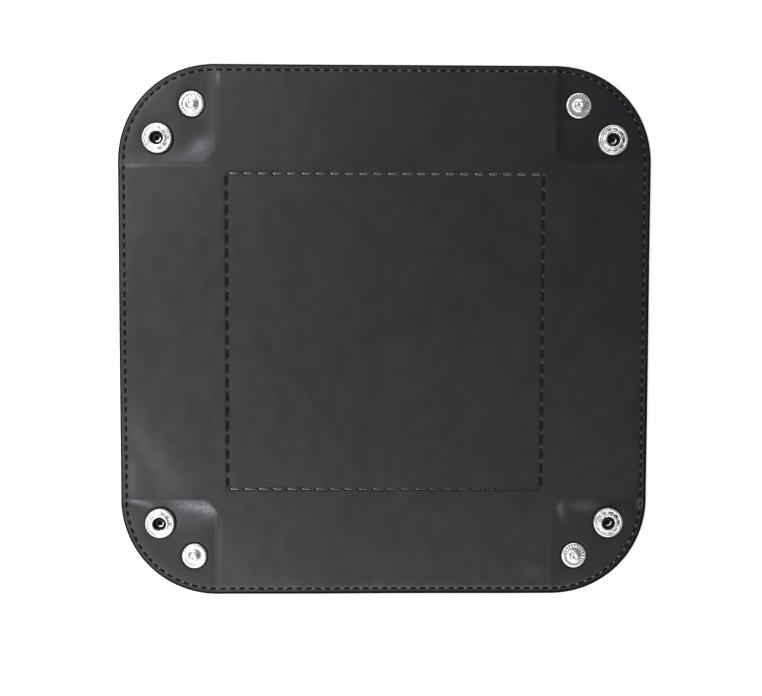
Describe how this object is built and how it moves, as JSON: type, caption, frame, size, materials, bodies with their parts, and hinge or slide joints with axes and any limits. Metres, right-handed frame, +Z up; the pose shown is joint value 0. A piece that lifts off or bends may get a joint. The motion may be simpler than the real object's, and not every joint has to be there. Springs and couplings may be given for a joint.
{
  "type": "dice tray",
  "caption": "Fold-flat leather dice tray: a stiffened square base with hinged walls, whose rounded corners pinch together and hold on ring-spring snaps.",
  "frame": {"origin": "on the table under the middle of the base", "axes": "+Z up out of the lining, +Y towards the back wall at the top of the picture, +X to the right"},
  "size_m": [0.2, 0.2, 0.0067],
  "materials": {
    "lining_leather": "smooth coated leather, fine grain, satin",
    "cover_leather": "smooth coated leather, fine grain, satin",
    "board": "raw grey pressed fibre board",
    "thread": "waxed black polyester thread",
    "nickel": "polished nickel plate",
    "spring_steel": "drawn spring wire"
  },
  "bodies": {
    "base": {"base_cover": "cover_leather", "base_board": "board", "base_lining": "lining_leather", "base_seam_thread": "thread"},
    "back_wall": {"back_wall_lining": "lining_leather", "back_wall_cover": "cover_leather", "back_wall_edge_thread": "thread"},
    "left_wall": {"left_wall_lining": "lining_leather", "left_wall_cover": "cover_leather", "left_wall_edge_thread": "thread"},
    "front_wall": {"front_wall_lining": "lining_leather", "front_wall_cover": "cover_leather", "front_wall_edge_thread": "thread"},
    "right_wall": {"right_wall_lining": "lining_leather", "right_wall_cover": "cover_leather", "right_wall_edge_thread": "thread"},
    "back_left_stud_flap": {"back_left_stud_flap_lining": "lining_leather", "back_left_stud_flap_cover": "cover_leather", "back_left_stud": "nickel", "back_left_stud_post": "nickel"},
    "back_left_socket_flap": {"back_left_socket_flap_lining": "lining_leather", "back_left_socket_flap_cover": "cover_leather", "back_left_cap": "nickel", "back_left_socket": "nickel", "back_left_ring_spring": "spring_steel"},
    "back_left_fold_strip": {"back_left_fold_strip": "lining_leather"},
    "front_left_stud_flap": {"front_left_stud_flap_lining": "lining_leather", "front_left_stud_flap_cover": "cover_leather", "front_left_stud": "nickel", "front_left_stud_post": "nickel"},
    "front_left_socket_flap": {"front_left_socket_flap_lining": "lining_leather", "front_left_socket_flap_cover": "cover_leather", "front_left_cap": "nickel", "front_left_socket": "nickel", "front_left_ring_spring": "spring_steel"},
    "front_left_fold_strip": {"front_left_fold_strip": "lining_leather"},
    "front_right_stud_flap": {"front_right_stud_flap_lining": "lining_leather", "front_right_stud_flap_cover": "cover_leather", "front_right_stud": "nickel", "front_right_stud_post": "nickel"},
    "front_right_socket_flap": {"front_right_socket_flap_lining": "lining_leather", "front_right_socket_flap_cover": "cover_leather", "front_right_cap": "nickel", "front_right_socket": "nickel", "front_right_ring_spring": "spring_steel"},
    "front_right_fold_strip": {"front_right_fold_strip": "lining_leather"},
    "back_right_stud_flap": {"back_right_stud_flap_lining": "lining_leather", "back_right_stud_flap_cover": "cover_leather", "back_right_stud": "nickel", "back_right_stud_post": "nickel"},
    "back_right_socket_flap": {"back_right_socket_flap_lining": "lining_leather", "back_right_socket_flap_cover": "cover_leather", "back_right_cap": "nickel", "back_right_socket": "nickel", "back_right_ring_spring": "spring_steel"},
    "back_right_fold_strip": {"back_right_fold_strip": "lining_leather"}
  },
  "joints": [
    {"name": "back_wall_fold", "type": "hinge", "parent": "base", "child": "back_wall", "pos_m": [0, 0.0635, 0.0035], "axis": [1, 0, 0], "range_deg": [0, 80.9]},
    {"name": "left_wall_fold", "type": "hinge", "parent": "base", "child": "left_wall", "pos_m": [-0.0635, 0, 0.0035], "axis": [0, 1, 0], "range_deg": [0, 80.9]},
    {"name": "front_wall_fold", "type": "hinge", "parent": "base", "child": "front_wall", "pos_m": [0, -0.0635, 0.0035], "axis": [-1, 0, 0], "range_deg": [0, 80.9]},
    {"name": "right_wall_fold", "type": "hinge", "parent": "base", "child": "right_wall", "pos_m": [0.0635, 0, 0.0035], "axis": [0, -1, 0], "range_deg": [0, 80.9]},
    {"name": "back_left_stud_flap_fold", "type": "hinge", "parent": "back_wall", "child": "back_left_stud_flap", "pos_m": [-0.0635, 0.0635, 0.0035], "axis": [0, -1, 0], "range_deg": [0, 45.4]},
    {"name": "back_left_socket_flap_fold", "type": "hinge", "parent": "left_wall", "child": "back_left_socket_flap", "pos_m": [-0.0635, 0.0635, 0.0035], "axis": [-1, 0, 0], "range_deg": [0, 45.4]},
    {"name": "back_left_fold_strip_bend", "type": "hinge", "parent": "back_left_stud_flap", "child": "back_left_fold_strip", "pos_m": [-0.0635, 0.0635, 0.0035], "axis": [-0.6444, 0.7647, 0], "range_deg": [0, 86]},
    {"name": "front_left_stud_flap_fold", "type": "hinge", "parent": "front_wall", "child": "front_left_stud_flap", "pos_m": [-0.0635, -0.0635, 0.0035], "axis": [0, -1, 0], "range_deg": [0, 45.4]},
    {"name": "front_left_socket_flap_fold", "type": "hinge", "parent": "left_wall", "child": "front_left_socket_flap", "pos_m": [-0.0635, -0.0635, 0.0035], "axis": [1, 0, 0], "range_deg": [0, 45.4]},
    {"name": "front_left_fold_strip_bend", "type": "hinge", "parent": "front_left_stud_flap", "child": "front_left_fold_strip", "pos_m": [-0.0635, -0.0635, 0.0035], "axis": [0.6444, 0.7647, 0], "range_deg": [0, 86]},
    {"name": "front_right_stud_flap_fold", "type": "hinge", "parent": "front_wall", "child": "front_right_stud_flap", "pos_m": [0.0635, -0.0635, 0.0035], "axis": [0, 1, 0], "range_deg": [0, 45.4]},
    {"name": "front_right_socket_flap_fold", "type": "hinge", "parent": "right_wall", "child": "front_right_socket_flap", "pos_m": [0.0635, -0.0635, 0.0035], "axis": [1, 0, 0], "range_deg": [0, 45.4]},
    {"name": "front_right_fold_strip_bend", "type": "hinge", "parent": "front_right_stud_flap", "child": "front_right_fold_strip", "pos_m": [0.0635, -0.0635, 0.0035], "axis": [0.6444, -0.7647, 0], "range_deg": [0, 86]},
    {"name": "back_right_stud_flap_fold", "type": "hinge", "parent": "back_wall", "child": "back_right_stud_flap", "pos_m": [0.0635, 0.0635, 0.0035], "axis": [0, 1, 0], "range_deg": [0, 45.4]},
    {"name": "back_right_socket_flap_fold", "type": "hinge", "parent": "right_wall", "child": "back_right_socket_flap", "pos_m": [0.0635, 0.0635, 0.0035], "axis": [-1, 0, 0], "range_deg": [0, 45.4]},
    {"name": "back_right_fold_strip_bend", "type": "hinge", "parent": "back_right_stud_flap", "child": "back_right_fold_strip", "pos_m": [0.0635, 0.0635, 0.0035], "axis": [-0.6444, -0.7647, 0], "range_deg": [0, 86]}
  ],
  "couplings": [
    {"joint": "left_wall_fold", "follows": "back_wall_fold", "ratio": 1},
    {"joint": "front_wall_fold", "follows": "back_wall_fold", "ratio": 1},
    {"joint": "right_wall_fold", "follows": "back_wall_fold", "ratio": 1},
    {"joint": "back_left_stud_flap_fold", "follows": "back_wall_fold", "ratio": 0.56035},
    {"joint": "back_left_socket_flap_fold", "follows": "back_wall_fold", "ratio": 0.56035},
    {"joint": "back_left_fold_strip_bend", "follows": "back_wall_fold", "ratio": 1.0609},
    {"joint": "front_left_stud_flap_fold", "follows": "back_wall_fold", "ratio": 0.56035},
    {"joint": "front_left_socket_flap_fold", "follows": "back_wall_fold", "ratio": 0.56035},
    {"joint": "front_left_fold_strip_bend", "follows": "back_wall_fold", "ratio": 1.0609},
    {"joint": "front_right_stud_flap_fold", "follows": "back_wall_fold", "ratio": 0.56035},
    {"joint": "front_right_socket_flap_fold", "follows": "back_wall_fold", "ratio": 0.56035},
    {"joint": "front_right_fold_strip_bend", "follows": "back_wall_fold", "ratio": 1.0609},
    {"joint": "back_right_stud_flap_fold", "follows": "back_wall_fold", "ratio": 0.56035},
    {"joint": "back_right_socket_flap_fold", "follows": "back_wall_fold", "ratio": 0.56035},
    {"joint": "back_right_fold_strip_bend", "follows": "back_wall_fold", "ratio": 1.0609}
  ]
}
